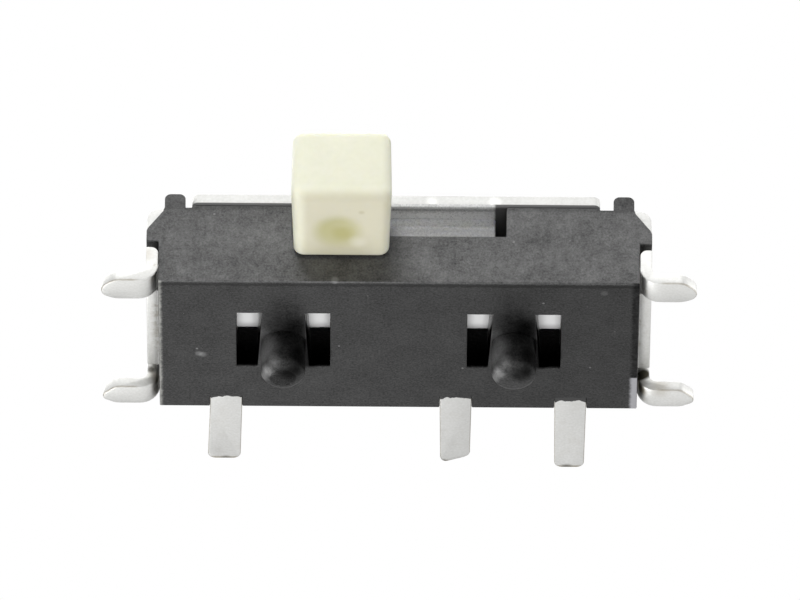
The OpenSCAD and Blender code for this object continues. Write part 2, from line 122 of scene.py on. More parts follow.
lens_data = bpy.data.cameras.new("macro_lens")
lens_data.sensor_width = SENSOR
lens_data.lens = SENSOR * CAMERA_DISTANCE / VIEW_WIDTH
lens_data.clip_start = 10 * MM
lens_data.clip_end = 1000 * MM
camera = bpy.data.objects.new("camera", lens_data)
camera.location = aim + CAMERA_DISTANCE * toward_camera
turn = Matrix((view_right, view_up, toward_camera)).transposed()
camera.rotation_euler = (turn @ Matrix.Rotation(CAMERA_ROLL, 3, "Z")).to_euler()
bpy.context.collection.objects.link(camera)
bpy.context.scene.camera = camera
bpy.context.scene.view_settings.view_transform = "Standard"
print("lens", round(lens_data.lens), "mm, aimed at", [round(v / MM, 2) for v in aim], "mm")

# %% [markdown]
# ## A small class for shader sums
#
# A node material is mostly arithmetic on masks. Written as nodes and links it takes a page, and
# written as `mask * 0.4 + 0.1` it takes a line. `Amount` wraps a socket, and each operator adds
# a Math node to the tree that the socket belongs to.

# %% Sums of sockets
class Amount:
    """The output of a node, which can be used in sums."""

    def __init__(self, nodes, socket):
        self.nodes = nodes
        self.socket = socket

    def maths(self, operation, first, second):
        return self.nodes.node("ShaderNodeMath", {"operation": operation}, {0: first, 1: second})

    def __add__(self, other):
        return self.maths("ADD", self, other)

    def __sub__(self, other):
        return self.maths("SUBTRACT", self, other)

    def __rsub__(self, other):
        return self.maths("SUBTRACT", other, self)

    def __mul__(self, other):
        return self.maths("MULTIPLY", self, other)

    def __abs__(self):
        return self.maths("ABSOLUTE", self, 0)

    __radd__ = __add__
    __rmul__ = __mul__


print("Amount adds, subtracts, multiplies and drops a sign")

# %% [markdown]
# `Nodes` holds one tree and its shader, and has one method that adds any other node. A node's
# settings are set first, since they can change its sockets, and then its sockets get values or
# links. The world uses it as it is. `step` is the mask that everything below is made of.

# %% One tree of nodes
class Nodes:
    """A tree of nodes with the shader that they feed."""

    def __init__(self, tree, shader):
        self.tree = tree
        self.shader = tree.nodes[shader]

    def node(self, kind, settings=None, inputs=None, output=0):
        """Adds a node, sets it, fills or links its sockets, and gives back one output."""
        made = self.tree.nodes.new(kind)
        for name, value in (settings or {}).items():
            setattr(made, name, value)
        for socket, value in (inputs or {}).items():
            if isinstance(value, Amount):
                self.tree.links.new(value.socket, made.inputs[socket])
            else:
                made.inputs[socket].default_value = value
        return Amount(self, made.outputs[output])

    def feed(self, socket, amount):
        self.tree.links.new(amount.socket, self.shader.inputs[socket])

    def step(self, amount, low, high):
        """0 below low and 1 above high, or the other way round, with a soft change between."""
        return self.node("ShaderNodeMapRange", {"interpolation_type": "SMOOTHSTEP"},
                         {"Value": amount, "From Min": low, "From Max": high})


print("Nodes adds a node, feeds the shader and makes soft steps")

# %% [markdown]
# `Finish` is such a tree for one material. It turns Object coordinates, which are metres, into
# millimetres, and its methods are the patterns that the finishes share: soft noise, specks,
# round marks and an uneven tone. A uniform value goes straight on the shader's own socket.

# %% One material
class Finish(Nodes):
    """A material with a Principled shader, and the patterns that feed it."""

    def __init__(self, name, **uniform):
        self.material = bpy.data.materials.new(name)
        self.material.use_nodes = True
        super().__init__(self.material.node_tree, "Principled BSDF")
        for socket, value in uniform.items():
            self.shader.inputs[socket.replace("_", " ")].default_value = value
        place = self.node("ShaderNodeTexCoord", output="Object")
        self.mm = self.node("ShaderNodeVectorMath", {"operation": "SCALE"},
                            {"Vector": place, "Scale": 1 / MM})
        self.x, self.y, self.z = (
            self.node("ShaderNodeSeparateXYZ", inputs={"Vector": self.mm}, output=axis)
            for axis in "XYZ")

    def noise(self, per_mm, detail=2.0, roughness=0.5, stretch=(1, 1, 1)):
        """Soft noise around 0.5 with that many lumps in a millimetre."""
        spread = self.node("ShaderNodeVectorMath", {"operation": "MULTIPLY"},
                           {0: self.mm, 1: stretch})
        return self.node("ShaderNodeTexNoise", None,
                         {"Vector": spread, "Scale": per_mm, "Detail": detail,
                          "Roughness": roughness})

    def specks(self, per_mm, size):
        """1 in small round dots, size across as a share of their spacing."""
        distance = self.node("ShaderNodeTexVoronoi", None,
                             {"Vector": self.mm, "Scale": per_mm}, output="Distance")
        return self.step(distance, size, size / 2)

    def uneven(self):
        """An amount around 1 that varies unevenly from place to place."""
        return (self.noise(30, detail=2, roughness=0.8) - 0.5) * 1.2 + 1

    def near(self, centre, reach, soft):
        """1 within reach of a point, fading to 0 over soft millimetres."""
        away = self.node("ShaderNodeVectorMath", {"operation": "DISTANCE"},
                         {0: self.mm, 1: centre}, output="Value")
        return self.step(away, reach + soft, reach)

    def marks(self, table, x=0.0):
        """Soft round marks, each with its place from x, its reach, soft edge and strength."""
        total = 0
        for across, along, height, reach, soft, strength in table:
            total = self.near((x + across, along, height), reach, soft) * strength + total
        return total

    def mix(self, factor, first, second):
        """The first colour where the factor is 0, and the second where it is 1."""
        return self.node("ShaderNodeMix", {"data_type": "RGBA"},
                         {0: factor, 6: first, 7: second}, output=2)

    def shade(self, colour, amount):
        """A colour made lighter or darker by an amount around 1."""
        return self.node("ShaderNodeVectorMath", {"operation": "SCALE"},
                         {0: colour, "Scale": amount})

    def bump(self, height, strength, depth):
        """Feeds the shader's normal with small hills, depth millimetres high."""
        self.feed("Normal", self.node("ShaderNodeBump", None,
                                      {"Strength": strength, "Distance": depth * MM,
                                       "Height": height}))


def grey(level, warmth=0.0):
    """A linear colour: a level from 0 to 1, with the blue held back by warmth."""
    return (level, level, level * (1 - warmth), 1)


print("Finish makes a Principled material and its nodes")

# %% [markdown]
# ## Black moulding
#
# The housing is a filled black plastic. Its front face is spark-eroded matt and catches much
# more light than the smooth underside, and its black is painted much lighter than the
# underside's, partly for the matt skin and partly as painted light. The matt skin wraps a
# little round the lower edge, and a ragged line of painted shade follows it. Two materials on
# two sets of faces would meet in a hard line, so one material chooses by place. Light hardly
# reaches the core windows, the crevice beside the sheet metal, the strip under the cover's tab
# or the shaded side of a peg, and the underside is dimmer toward one end. `unlit` makes such a
# place a black metal, which takes away the matt light and the mirrored light together: this is
# painted shade. Pale strips are painted along the left edge of the underside and at its right
# rear corner, as painted light where light shows in the gap beside the sheet metal. The tables
# hold soft round marks: specks of dust, and one painted glint on the right peg's tip. The pegs'
# marks are measured from a peg's axis: the light ones are painted highlights, and the dark ones
# are painted shade where they lie away from the light.

# %% The black moulding's finish
# partly painted light: FRONT is much lighter than UNDERSIDE, partly for the matt skin and partly for the
# light that falls on the front face
UNDERSIDE = grey(0.024)
FRONT = grey(0.108)
UNLIT = grey(0.0)
DUST_AND_GLINT_GREY = grey(0.30)
PEG_HIGHLIGHT_GREY = grey(0.24)
GAP_LIGHT_EDGE = grey(0.50, 0.05)
GAP_LIGHT_CORNER = grey(0.42, -0.05)
UNDERSIDE_Z = 0.004
SKIN_END = front_mm + 0.065
EDGE_SHADE_END = front_mm + 0.145
WINDOW_X = 2.13
WINDOW_Y = 0.67
SIDE_X = 3.02
CORNER_Y = 0.66
WALL_TOP = 1.20
DIM_FROM_X = -1.5
DIM_TO_X = 2.5
# specks of dust, and last a painted glint on the right peg's tip
DUST_AND_GLINT = ((-0.83, front_mm, 0.03, 0.02, 0.05, 1.4), (2.66, -1.14, 0.0, 0.02, 0.05, 0.35),
           (-2.60, 0.21, 0.0, 0.02, 0.05, 0.6), (-2.55, 0.23, 0.0, 0.02, 0.05, 0.6),
           (1.45, 0.27, -0.50, 0.005, 0.04, 1.2))
# painted highlights on each peg's left rim and side, where the light falls
PEG_HIGHLIGHTS = ((-0.10, -0.22, -0.43, 0.01, 0.12, 1.0), (-0.19, -0.10, -0.50, 0.01, 0.12, 1.0),
              (-0.25, 0.02, -0.50, 0.01, 0.10, 0.7), (-0.27, -0.20, -0.22, 0.10, 0.20, 0.8))
SHADED_PEG = ((0.21, -0.16, -0.36, 0.08, 0.16, 0.75), (0.09, -0.10, -0.55, 0.05, 0.15, 0.75),
              (0.22, -0.34, -0.02, 0.05, 0.30, 0.38), (0.06, -0.42, 0.0, 0.05, 0.35, 0.22),
              (0.30, 0.18, 0.0, 0.26, 0.10, 0.9), (-0.31, 0.0, 0.0, 0.10, 0.30, 0.25))


def black_moulding():
    """The housing: matt on its front, smooth underneath, and dark where no light comes."""
    finish = Finish("black_plastic", Specular_IOR_Level=0.33)
    fine = finish.noise(34, detail=2, roughness=0.8)
    grain = finish.noise(13, detail=2, roughness=0.6)
    blotch = finish.noise(2.2, detail=3)
    ragged = finish.y + grain * 0.05
    on_front = finish.step(ragged, SKIN_END, SKIN_END - 0.03)
    below = finish.step(finish.z, UNDERSIDE_Z + 0.006, UNDERSIDE_Z)
    in_window = (finish.step(finish.z, UNDERSIDE_Z, 0.05)
                 * finish.step(abs(finish.x), WINDOW_X + 0.04, WINDOW_X)
                 * finish.step(abs(finish.y), WINDOW_Y + 0.04, WINDOW_Y))
    # painted shade: a ragged dark line along the underside just behind the lower front edge, which unlit
    # turns into black metal
    edge_shade_line = below * finish.step(ragged, SKIN_END, SKIN_END + 0.02) \
        * finish.step(ragged, EDGE_SHADE_END, EDGE_SHADE_END - 0.03)
    colour = finish.mix(on_front, UNDERSIDE, FRONT)
    colour = finish.shade(colour, (fine - 0.5) * (4.2 - on_front * 2.4) + (grain - 0.5) * 1.2
                          + (blotch - 0.5) * 1.3 + 1)
    # painted light: pale strips along the left edge of the underside and at its right rear corner, where
    # light shows in the gap beside the sheet metal
    left_gap_light = below * finish.step(finish.x + grain * 0.08, -SIDE_X, -SIDE_X - 0.06) * 0.60
    right_edge = below * finish.step(finish.x + grain * 0.04, SIDE_X, SIDE_X + 0.06)
    rear_corner = finish.step(finish.y, CORNER_Y, CORNER_Y + 0.03)
    colour = finish.mix(left_gap_light, colour, GAP_LIGHT_EDGE)
    colour = finish.mix(right_edge * rear_corner, colour, GAP_LIGHT_CORNER)
    crevice = right_edge * (1 - rear_corner) * grain
    under_tab = on_front * finish.step(finish.z + grain * 0.02, WALL_TOP - 0.05, WALL_TOP) * 0.24
    dim_end = finish.step(abs(finish.z), 0.02, 0.01) * finish.step(finish.x, DIM_FROM_X, DIM_TO_X) * 0.20
    unlit = in_window + edge_shade_line * (fine * 0.5 + 0.05) + crevice + under_tab + dim_end
    for peg_mm in (-peg_x / MM, peg_x / MM):
        # painted highlights: the pale marks on each peg
        wear_and_highlight = finish.marks(PEG_HIGHLIGHTS, peg_mm)
        colour = finish.mix(wear_and_highlight * (fine + 0.35), colour, PEG_HIGHLIGHT_GREY)
        unlit = unlit + finish.marks(SHADED_PEG, peg_mm)
    # dust specks, and a painted glint on the right peg's tip
    dust_and_glint = finish.specks(2.3, 0.05) + finish.specks(3.7, 0.03) + finish.marks(DUST_AND_GLINT)
    colour = finish.mix(dust_and_glint * 0.5, colour, DUST_AND_GLINT_GREY)
    finish.feed("Base Color", finish.mix(unlit, colour, UNLIT))
    finish.feed("Metallic", unlit)
    on_peg = finish.step(finish.z, -0.01, -0.05)
    finish.feed("Roughness", (grain - 0.5) * 0.2 + 0.33 + on_front * 0.22 + on_peg * 0.12)
    finish.bump(fine + grain + blotch * 0.3, 0.5, 0.006)
    return finish.material


finishes = {"black_moulding": black_moulding()}
print("black moulding has", len(finishes["black_moulding"].node_tree.nodes), "nodes")

# %% [markdown]
# ## Silver metal
#
# The cover is tinned sheet and the terminals are plated strip, and both are matt silver metals.
# Hot tin leaves a cloudy bloom and fine rolling lines, so one function makes both, with the
# roughness varied by the bloom so that reflections break up. It gives back the finish, its
# colour and a mask of cloudy stains, because each metal places its stains and marks itself
# before the colour is fed to the shader.

# %% What the silver metals share
STAIN = (0.36, 0.31, 0.22, 1)
GRIME_AND_SHADE = (0.06, 0.055, 0.04, 1)


def silver_metal(name, level, warmth, roll_along):
    """A rolled silver metal, with its colour and the mask of its stains."""
    finish = Finish(name)
    stretch = tuple(1.0 if axis == roll_along else 7.0 for axis in "XYZ")
    lines = finish.noise(3.0, detail=4, roughness=0.7, stretch=stretch)
    bloom = finish.noise(2.4, detail=3)
    grain = finish.noise(30, detail=2)
    lightness = (lines - 0.5) * 0.5 + (bloom - 0.5) * 0.7 + (grain - 0.5) * 1.4 + 0.5
    colour = finish.mix(lightness, grey(level * 0.90, warmth), grey(level * 1.05, warmth / 2))
    stains = finish.step(finish.noise(5, detail=3, roughness=0.6), 0.50, 0.66)
    finish.feed("Roughness", (bloom - 0.5) * 0.25 + (lines - 0.5) * 0.2 + 0.52)
    finish.bump(lines + grain * 0.5, 0.35, 0.004)
    return finish, colour, stains


print("silver metals are stained with", STAIN[:3], "and grimed with", GRIME_AND_SHADE[:3])

# %% [markdown]
# ## The tinned sheet
#
# The cover's sheet is brownish where its lower edges touch the moulding and round the feet's
# lower edges, and painted dark as shade in the crevices where its rear legs meet the walls. The
# front faces of its front legs and feet are painted lighter as painted light, and the front edge
# of the tab is painted lighter low down and darker high up, with two painted highlights. Its top
# is scratched along its length. Inside, the strip of the sheet's underside over the slot is
# painted a pale matt grey that stands in for light, paler further in, with a line of painted
# shade near its front, and the rest of the underside inside is painted dark as shade. All of
# this is chosen by place, so that the folded sheet can stay one piece with one material.

# %% The tinned sheet's finish
# painted light and shade under the lid: a pale matt strip over the slot, paler further in, and dark
# elsewhere
LID_PAINTED_LIGHT = grey(0.98)
TAB_PAINTED_LIGHT = grey(0.65)
LID_PAINTED_SHADE = grey(0.10)
WALL_EDGE = 0.27
WALL_INNER = 3.14
WALL_OUTER = 3.27
INSIDE_X = 2.95
INSIDE_Z = 1.10
PAINTED_STRIP_X = 1.26
PAINTED_STRIP_DEPTH = 0.33
LID_SHADE_START = 0.045
LID_SHADE_END = 0.11
FOOT_X = 3.36
FOOT_TOP = 0.62
TAB_BOTTOM = 1.20
# painted shade in the crevices where the rear legs meet the walls' lower edges
LEG_CREVICE_SHADE = ((-3.23, 0.95, 0.29, 0.02, 0.06, 0.8), (3.21, 0.95, 0.27, 0.05, 0.06, 1.0),
         (3.14, 0.95, 0.22, 0.03, 0.06, 1.0), (-3.15, 0.97, 0.16, 0.02, 0.08, 0.6))
BROWNED = ((3.18, 1.05, 0.12, 0.03, 0.10, 0.9), (-3.19, 1.00, 0.20, 0.02, 0.10, 0.5),
           (-3.28, front_mm, 0.43, 0.02, 0.14, 0.30), (3.42, 0.97, 0.06, 0.02, 0.16, 0.35))
# painted highlights on the tab's front edge
TAB_HIGHLIGHTS = ((0.42, front_mm, 1.32, 0.03, 0.08, 0.22), (1.24, front_mm, 1.31, 0.04, 0.08, 0.25))


def tinned_sheet():
    """The cover: stained along its lower edges, with painted light and shade inside, over the slot."""
    finish, colour, stains = silver_metal("tinned_sheet", 0.80, 0.035, "X")
    wall_edge = finish.step(finish.z, WALL_EDGE + 0.01, WALL_EDGE - 0.015) \
        * finish.step(abs(finish.x), WALL_OUTER, WALL_INNER)
    colour = finish.mix(stains * wall_edge * 0.45, colour, STAIN)
    on_top = finish.step(finish.z, top_mm - 0.02, top_mm - 0.004)
    wear_and_highlight = finish.noise(7, detail=5, roughness=0.75, stretch=(0.25, 4, 1))
    colour = finish.shade(colour, 1 - on_top * (finish.step(wear_and_highlight, 0.40, 0.75) * 0.35 + 0.10))
    depth = finish.y - front_mm
    under_lid = finish.step(finish.z, lid_under_mm + 0.025, lid_under_mm + 0.010)
    # painted light and shade: inside the lid the metal gives way to the painted colours below
    painted_lid = under_lid * finish.step(finish.z, INSIDE_Z, INSIDE_Z + 0.05) \
        * finish.step(abs(finish.x), INSIDE_X, INSIDE_X - 0.05)
    painted_light_and_shade = finish.mix(finish.step(depth, 0.04, 0.20), TAB_PAINTED_LIGHT, LID_PAINTED_LIGHT)
    over_slider = finish.step(abs(finish.x), PAINTED_STRIP_X, PAINTED_STRIP_X - 0.04) \
        * finish.step(depth, PAINTED_STRIP_DEPTH, PAINTED_STRIP_DEPTH - 0.04)
    # painted shade: a darker line across the strip near its front
    lid_shade_line = finish.step(depth, LID_SHADE_START, LID_SHADE_START + 0.015) \
        * finish.step(depth, LID_SHADE_END, LID_SHADE_END - 0.02) * 0.3
    painted_light_and_shade = finish.mix(over_slider, LID_PAINTED_SHADE, finish.shade(painted_light_and_shade, finish.uneven() - lid_shade_line))
    # painted shade at the rear legs' crevices
    colour = finish.mix(finish.marks(LEG_CREVICE_SHADE), colour, GRIME_AND_SHADE)
    lower_rim = finish.step(finish.z, 0.001, 0.004) * finish.step(finish.z, 0.030, 0.018) \
        * finish.step(abs(finish.x), FOOT_X, FOOT_X + 0.10)
    colour = finish.mix(finish.marks(BROWNED) + lower_rim * wear_and_highlight * 0.8, colour, STAIN)
    # painted light: the front faces of the front legs and feet are made lighter, and the tab's front edge
    # lighter low down and darker high up
    cut_edge = finish.step(finish.y, front_mm + 0.012, front_mm + 0.002)
    of_foot = cut_edge * finish.step(finish.z, FOOT_TOP, FOOT_TOP - 0.10)
    of_tab = cut_edge * finish.step(finish.z, TAB_BOTTOM, TAB_BOTTOM + 0.01)
    tab_light_gradient = finish.step(finish.z, 1.25, 1.40) * 0.14 - 0.04
    colour = finish.shade(colour, finish.marks(TAB_HIGHLIGHTS) + of_foot * 0.12 - of_tab * tab_light_gradient + 1)
    inner_rim = finish.step(abs(finish.x), WALL_INNER + 0.005, WALL_INNER - 0.005) \
        * finish.step(finish.z, WALL_EDGE + 0.005, WALL_EDGE - 0.008)
    finish.feed("Base Color", finish.mix(painted_lid, colour, painted_light_and_shade))
    finish.feed("Metallic", (1 - painted_lid) * (1 - inner_rim * 0.8))
    return finish.material


finishes["tinned_cover"] = tinned_sheet()
print("tinned sheet has", len(finishes["tinned_cover"].node_tree.nodes), "nodes")

# %% [markdown]
# ## The plated strip
#
# The three terminals are cut from strip, so their cut edges and sheared tips show brown base
# metal, and the tips are smudged. A ragged black flash with rounded corners covers each strip
# where it leaves the moulding. The plates in the floor of the housing are matt. The flash is
# thinner than a hair, so it is colour too, and it has to be laid over everything else.

# %% The plated strip's finish
MATT_PLATE = grey(0.95)
TERMINALS = ("left_terminal", "common_terminal", "right_terminal")
TAIL_X = (-2.25, 0.75, 2.25)
TAIL_HALF = 0.30
PLATE_Z = 0.40
PLATE_Y = 0.75
FLASH_Y = 1.075
FLASH_Z = 0.3
SMUDGED_TIPS = ((-2.26, 2.50, 0.0, 0.02, 0.08, 1.2), (0.60, 2.55, 0.0, 0.02, 0.08, 1.2),
                (2.22, 2.65, 0.0, 0.02, 0.09, 1.4))


def silver_strip():
    """The terminals: matt plates in the floor, and black flash where they leave the housing."""
    finish, colour, stains = silver_metal("silver_strip", 0.78, 0.03, "Y")
    colour = finish.mix(stains * 0.06, colour, STAIN)
    plate = finish.step(finish.z, PLATE_Z, PLATE_Z + 0.05) \
        * finish.step(abs(finish.y), PLATE_Y, PLATE_Y - 0.05)
    of_right = finish.step(finish.x, 1.5, 1.6)
    flash_edge = finish.noise(9, detail=2) * 0.12 + of_right * 0.05 + FLASH_Y
    colour = finish.shade(colour, of_right * 0.06 - finish.step(finish.x, -1.0, 0.0) * 0.11 + 1.02)
    for node, tail_x in zip(TERMINALS, TAIL_X):
        tip_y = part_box(node)[1].y / MM
        across = abs(finish.x - tail_x)
        on_tail = finish.step(across, TAIL_HALF + 0.02, TAIL_HALF)
        flash_edge = flash_edge + on_tail * finish.step(across, 0.12, 0.20) * 0.035
        colour = finish.mix(on_tail * finish.step(finish.y, tip_y - 0.06, tip_y - 0.01), colour, STAIN)
    side_rim = finish.step(finish.z, 0.001, 0.004) * finish.step(finish.z, 0.030, 0.016)
    colour = finish.mix(side_rim * 0.45, colour, STAIN)
    colour = finish.mix(finish.marks(SMUDGED_TIPS) * (flash_edge - 0.6), colour, GRIME_AND_SHADE)
    flash = finish.step(flash_edge - finish.y, -0.004, 0.004) \
        * finish.step(finish.z, FLASH_Z, FLASH_Z - 0.1)
    colour = finish.mix(plate, colour, MATT_PLATE)
    finish.feed("Base Color", finish.mix(flash, colour, UNDERSIDE))
    finish.feed("Metallic", (1 - plate) * (1 - flash))
    return finish.material


finishes["plated_strip"] = silver_strip()
print("plated strip has", len(finishes["plated_strip"].node_tree.nodes), "nodes")

# %% [markdown]
# ## Ivory moulding
#
# The slider is an unfilled nylon: ivory, slightly translucent and smooth, so it scatters a
# little light below its surface. It looks yellower where it is thick. The knob's underside is
# painted darker and yellower, partly for that and partly as painted shade, with painted shade
# at its root and a lighter left side as painted light. A round pin mark under the knob has
# yellowed most, darkest on one side as partly painted shade in the dish, with a dot beside it
# and a painted highlight on the dish's rim. These are colour, since they have no height to
# model. The carriage behind the front wall is painted grey, much paler near the top, where the
# cover's tab shades it, as painted light.

# %% The ivory moulding's finish
IVORY = (0.76, 0.76, 0.60, 1)
PALE_IVORY = (0.86, 0.86, 0.73, 1)
YELLOWED_AND_SHADED_IVORY = (0.54, 0.505, 0.385, 1)
SHADED_IVORY = (0.44, 0.41, 0.27, 1)
YELLOWED = (0.45, 0.43, 0.21, 1)
DEEP_YELLOW_AND_SHADE = (0.38, 0.35, 0.12, 1)
DISH_HIGHLIGHT_IVORY = (0.80, 0.79, 0.70, 1)
BROWN_DOT = (0.40, 0.36, 0.20, 1)
# painted light on the carriage: pale near the top, where the cover's tab shades it, grey lower down
CARRIAGE_LIGHT = grey(0.97)
CARRIAGE_GREY = grey(0.33)
KNOB_LOW_Z = 0.36
LEFT_LIGHT_X = knob_mm - 0.42
CARRIAGE_LIGHT_Z = 1.18
CARRIAGE_GREY_Z = 1.04
KNOB_ROOT = (knob_mm, -1.42, 0.42)
KNOB_MARK = (knob_mm - 0.05, -1.91, 0.39)
KNOB_DISH_SHADE = (knob_mm, -1.85, 0.39)
KNOB_DISH_HIGHLIGHT = (knob_mm + 0.22, -1.68, 0.38)
KNOB_DOT = (knob_mm + 0.26, -2.33, 0.38)


def ivory_moulding():
    """The slider: yellowed by place on the knob, with painted shade and light there, and painted grey
    behind the front wall.
    """
    finish = Finish("ivory_nylon", Specular_IOR_Level=0.45, Subsurface_Weight=0.25,
                    Subsurface_Radius=(0.25 * MM, 0.22 * MM, 0.12 * MM), Subsurface_Scale=1.0)
    cloud = finish.noise(1.8, detail=3)
    grain = finish.noise(12, detail=2)
    lightness = (cloud - 0.5) * 0.8 + (grain - 0.5) * 0.5 + 0.5
    colour = finish.mix(lightness, IVORY, PALE_IVORY)
    # partly painted shade: the knob's underside is darker and yellower, partly yellowing, but less along
    # its left side, which is painted light
    low = finish.step(finish.z, KNOB_LOW_Z + 0.16, KNOB_LOW_Z)
    left_painted_light = finish.step(finish.x, LEFT_LIGHT_X, LEFT_LIGHT_X - 0.12)
    colour = finish.mix(low * (0.75 - left_painted_light * 0.4), colour, YELLOWED_AND_SHADED_IVORY)
    # painted shade at the knob's root
    colour = finish.mix(finish.near(KNOB_ROOT, 0.15, 0.50) * 0.5, colour, SHADED_IVORY)
    # the pin mark is yellowed, and darkest on one side, which is partly painted shade in the dish
    mark = finish.near(KNOB_MARK, 0.16, 0.24) * (cloud * 0.6 + 0.56)
    colour = finish.mix(mark, colour, YELLOWED)
    colour = finish.mix(finish.near(KNOB_DISH_SHADE, 0.04, 0.16) * 0.5, colour, DEEP_YELLOW_AND_SHADE)
    # painted highlight on the lit rim of the dish
    colour = finish.mix(finish.near(KNOB_DISH_HIGHLIGHT, 0.02, 0.15) * 0.30, colour, DISH_HIGHLIGHT_IVORY)
    colour = finish.mix(finish.near(KNOB_DOT, 0.01, 0.05) * 0.4, colour, BROWN_DOT)
    # painted light on the carriage behind the front wall: pale near the top, grey lower down
    inside = finish.step(finish.y, front_mm - 0.03, front_mm + 0.03)
    painted_light_and_shade = finish.mix(finish.step(finish.z, CARRIAGE_LIGHT_Z, CARRIAGE_GREY_Z), CARRIAGE_LIGHT, CARRIAGE_GREY)
    finish.feed("Base Color", finish.mix(inside, colour, finish.shade(painted_light_and_shade, finish.uneven())))
    finish.feed("Roughness", (cloud - 0.5) * 0.2 + 0.42)
    finish.bump(grain + cloud, 0.3, 0.004)
    return finish.material


finishes["ivory_moulding"] = ivory_moulding()
print("ivory has a pin mark at", [round(v, 2) for v in KNOB_MARK], "mm")

# %% [markdown]
# ## Contact bronze and spring steel
#
# Two leaves work inside the switch. The moving contact is warm bronze with a polished track
# where it wipes, and the detent spring is blue-grey steel. They show only where the cover is
# open, yet they have rolling lines and wear like any other strip.

# %% The leaves' finishes
BRONZE = (0.55, 0.36, 0.16, 1)
POLISHED_BRONZE = (0.80, 0.60, 0.34, 1)
STEEL = (0.36, 0.38, 0.41, 1)
POLISHED_STEEL = (0.62, 0.64, 0.66, 1)


def rolled_leaf(name, colour, worn_colour, per_mm):
    """A thin rolled leaf that is polished where it wipes."""
    finish = Finish(name, Metallic=1.0)
    lines = finish.noise(per_mm, detail=4, roughness=0.7, stretch=(1, 8, 8))
    worn = finish.step(finish.noise(3.5, detail=2), 0.48, 0.62)
    finish.feed("Base Color", finish.mix(worn * 0.6 + (lines - 0.5) * 0.5, colour, worn_colour))
    finish.feed("Roughness", (lines - 0.5) * 0.3 + 0.38 - worn * 0.1)
    finish.bump(lines, 0.3, 0.003)
    return finish.material


finishes["contact_bronze"] = rolled_leaf("bronze_leaf", BRONZE, POLISHED_BRONZE, 4)
finishes["spring_steel"] = rolled_leaf("steel_leaf", STEEL, POLISHED_STEEL, 5)
print(len(finishes), "finishes")

# %% [markdown]
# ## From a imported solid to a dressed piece
#
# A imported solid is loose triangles. A copy is merged, its flat faces are made whole, and every
# edge that turns sharply gets a small rounded edge, which catches the light as a moulded or
# punched edge does. Where a corner is rounder than that, its upright edges are rounded first,
# and where a part of the solid is modelled anew, it is cut off. A Weighted Normal modifier then
# keeps the large faces flat to the eye.

# %% Helpers that dress a piece
MERGE = 0.0005 * MM
FLAT = math.radians(1)
TURN = math.radians(30)
SHARP = math.radians(50)


def merged_copy(node):
    """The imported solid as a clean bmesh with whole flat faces."""
    mesh = bmesh.new()
    mesh.from_mesh(frame["nodes"][node].data)
    bmesh.ops.remove_doubles(mesh, verts=mesh.verts, dist=MERGE)
    bmesh.ops.dissolve_limit(mesh, angle_limit=FLAT, verts=mesh.verts, edges=mesh.edges)
    return mesh


def rounded(mesh, edges, radius, segments, clamp_overlap=False):
    """Bevels edges to a round of that radius and says how many there were."""
    bmesh.ops.bevel(mesh, geom=edges, offset=radius, offset_type="OFFSET", affect="EDGES",
                    segments=segments, profile=0.5, material=-1, clamp_overlap=clamp_overlap)
    return len(edges)


def soften(mesh, radius):
    """Rounds each edge that turns by more than TURN."""
    sharp = [e for e in mesh.edges if e.is_manifold and e.calc_face_angle() > TURN]
    return rounded(mesh, sharp, radius, segments=2)


def round_corners(mesh, chosen, radius):
    """Rounds the upright edges at the chosen places, from top to bottom."""
    upright = [e for e in mesh.edges if e.is_manifold and chosen(e.verts[0].co)
               and (e.verts[0].co - e.verts[1].co).to_2d().length < MERGE]
    return rounded(mesh, upright, radius, segments=3, clamp_overlap=True)


def cut_off(mesh, point, kept_side):
    """Cuts by a plane through a point, keeps what lies on one side, and closes the cut."""
    bmesh.ops.bisect_plane(mesh, geom=mesh.verts[:] + mesh.edges[:] + mesh.faces[:],
                           dist=MERGE, plane_co=point, plane_no=kept_side, clear_inner=True)
    rim = [e for e in mesh.edges if e.is_boundary]
    bmesh.ops.holes_fill(mesh, edges=rim)
    return len(rim)


def linked_object(mesh, name):
    """Makes the bmesh an object in the scene and frees it."""
    data = bpy.data.meshes.new(name)
    mesh.to_mesh(data)
    mesh.free()
    made = bpy.data.objects.new(name, data)
    bpy.context.collection.objects.link(made)
    return made


def finished_piece(mesh, name, body, slot, *nodes):
    """Makes the bmesh an object that rides on its body and stands for CAD nodes."""
    for face in mesh.faces:
        face.smooth = True
    piece = linked_object(mesh, name)
    piece.data.materials.append(finishes[slot])
    piece.data.set_sharp_from_angle(angle=SHARP)
    flatten = piece.modifiers.new("flat_faces", "WEIGHTED_NORMAL")
    flatten.keep_sharp = True
    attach(piece, body)
    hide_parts(*nodes)
    print(name, "has", len(piece.data.polygons), "faces")


print("edges that turn by over", round(math.degrees(TURN)), "degrees are softened")

# %% [markdown]
# ## The housing
#
# The housing keeps its solid's shape. The real moulding sits so close in its sheet that no light
# shows between them, but the solids keep a clearance, which would shine as a white line. So the
# sides move out by a hair, still clear of the sheet. The slot's lower edge sags a little at the
# front, its ends are rounded, and the top of the front wall follows the cover's tab, which sits
# slightly to the left. The solid's pegs are cut off at the seating plane, to be made anew.

# %% The housing
HOUSING_EDGE = 0.014 * MM
BODY_SIDE = 3.10 * MM
SNUG = 0.018 * MM
SILL_Z = 0.80 * MM
SILL_DROP = 0.045 * MM
SLOT_END = 1.39 * MM
SLOT_CORNER = 0.03 * MM
TAB_END = 2.65 * MM
TAB_SHIFT = -0.045 * MM

